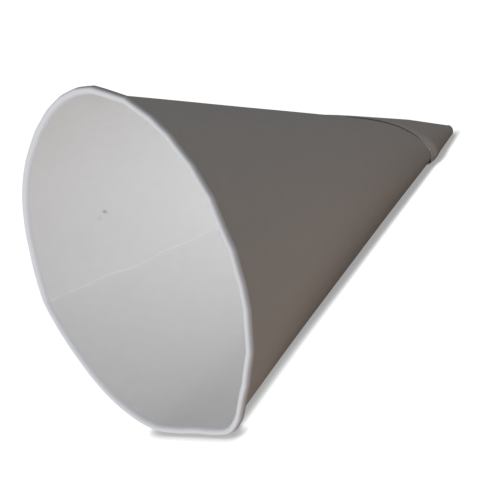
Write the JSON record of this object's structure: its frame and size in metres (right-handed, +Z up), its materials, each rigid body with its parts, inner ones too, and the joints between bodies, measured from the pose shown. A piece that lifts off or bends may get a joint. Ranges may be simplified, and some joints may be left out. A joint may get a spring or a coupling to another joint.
{
  "type": "cone paper cup",
  "caption": "Paper cone cup lying on its side: one wound sheet with a rolled rim, a lapped seam and a blunt tip. It holds a drink, ice or sweets.",
  "frame": {"origin": "middle of the underside of the box round the cup, on the table it lies on", "axes": "+Z up; +X from the mouth towards the tip, along the box's longest side; +Y across the cup"},
  "size_m": [0.1038, 0.0764, 0.069],
  "materials": {
    "paper": "uncoated white paper, matt, with a faint fibre grain"
  },
  "bodies": {
    "root": {"cup": "paper"}
  },
  "joints": []
}
